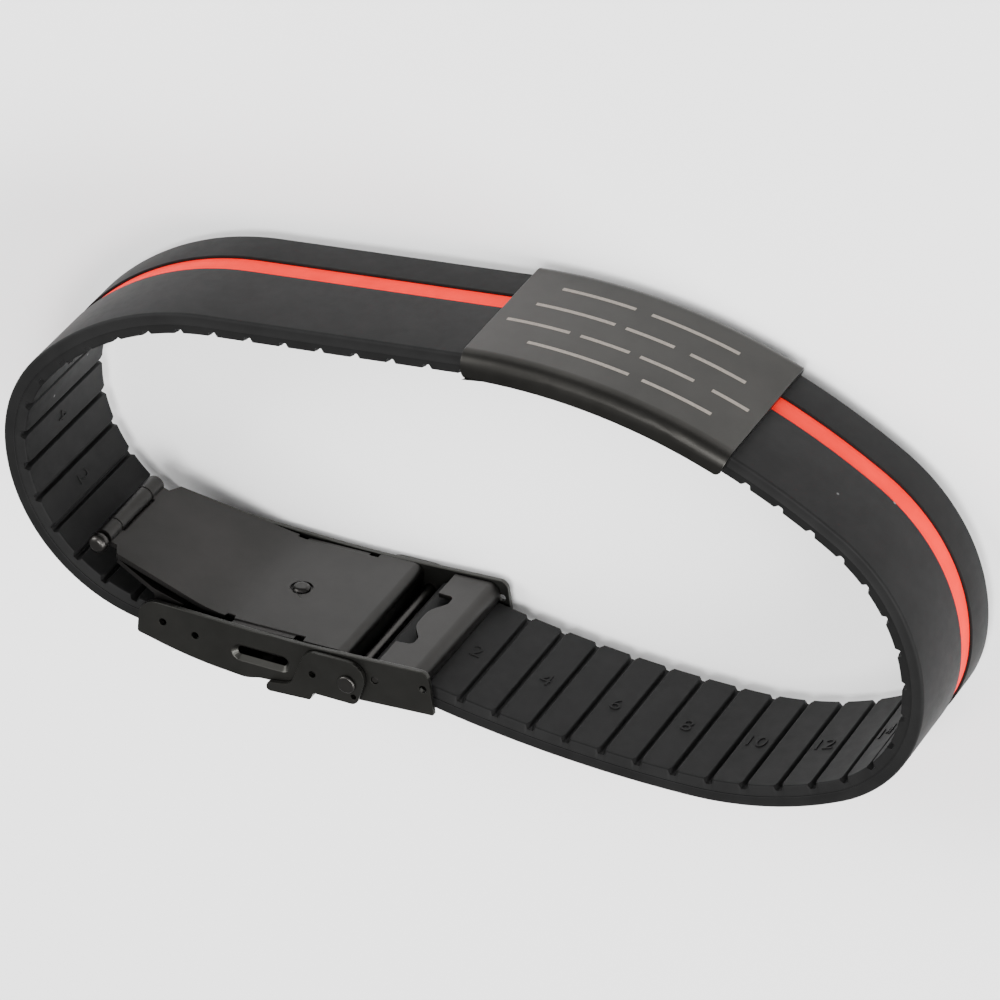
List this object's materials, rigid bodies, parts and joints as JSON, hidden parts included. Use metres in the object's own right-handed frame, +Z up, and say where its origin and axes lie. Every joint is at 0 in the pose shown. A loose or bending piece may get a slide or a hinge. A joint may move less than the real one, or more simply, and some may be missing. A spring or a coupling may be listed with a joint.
{
  "type": "medical alert bracelet",
  "caption": "Ribbed silicone bracelet with an inlaid stripe, a curved steel name plate and a folding steel clasp with a hinged safety lever, lying on its side.",
  "frame": {"origin": "middle of the bracelet's footprint, in the plane that it lies on", "axes": "+X along the bracelet's long way, -Y towards the name plate, +Z up, along the band's width"},
  "size_m": [0.093, 0.0432, 0.0198],
  "materials": {
    "silicone": "matte",
    "stripe": "matte",
    "dark_steel": "satin",
    "blade_steel": "satin",
    "pin_steel": "polished"
  },
  "bodies": {
    "root": {"strap": "silicone", "stripe": "stripe", "id_plate": "dark_steel", "clasp_cover": "dark_steel", "bridge_plate": "blade_steel", "long_blade": "blade_steel", "short_blade": "blade_steel", "fold_pin": "pin_steel", "lever_axle": "pin_steel", "cover_bar": "pin_steel", "blade_bar": "pin_steel"},
    "lever": {"safety_lever": "dark_steel"}
  },
  "joints": [
    {"name": "lever_hinge", "type": "hinge", "parent": "root", "child": "lever", "pos_m": [0.00888, 0.01795, 0.00988], "axis": [0, 0, 1], "range_deg": [0, 90]}
  ]
}
